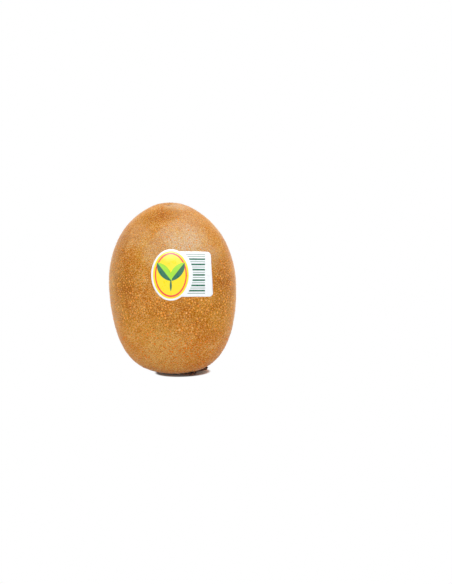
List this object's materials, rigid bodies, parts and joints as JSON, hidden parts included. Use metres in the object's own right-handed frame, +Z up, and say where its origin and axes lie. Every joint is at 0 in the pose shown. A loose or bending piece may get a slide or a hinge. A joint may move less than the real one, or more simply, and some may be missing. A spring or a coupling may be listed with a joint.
{
  "type": "kiwi fruit",
  "caption": "Whole golden kiwi fruit standing upright on its corky stem scar, with freckled brown skin, dried sepals at the foot, a pitted crown and a plain stick-on label.",
  "frame": {"origin": "middle of the small flat spot at the stem end, which the fruit rests on", "axes": "+Z up along the fruit from stem end to crown, -Y out of the front where the label is, +X to the right of the label seen from the front"},
  "size_m": [0.052, 0.0513, 0.07],
  "materials": {
    "skin": "satin golden-brown skin with fine pale down and raised orange-brown freckles",
    "label": "glossy coated paper label, white rim with a green, yellow and red print",
    "sepal": "dry crinkled dark brown sepals",
    "style": "dry brittle brown threads"
  },
  "bodies": {
    "root": {"kiwi_fruit": "skin", "fruit_label": "label", "sepal_1": "sepal", "sepal_2": "sepal", "sepal_3": "sepal", "sepal_4": "sepal", "sepal_5": "sepal", "style_tuft": "style"}
  },
  "joints": []
}
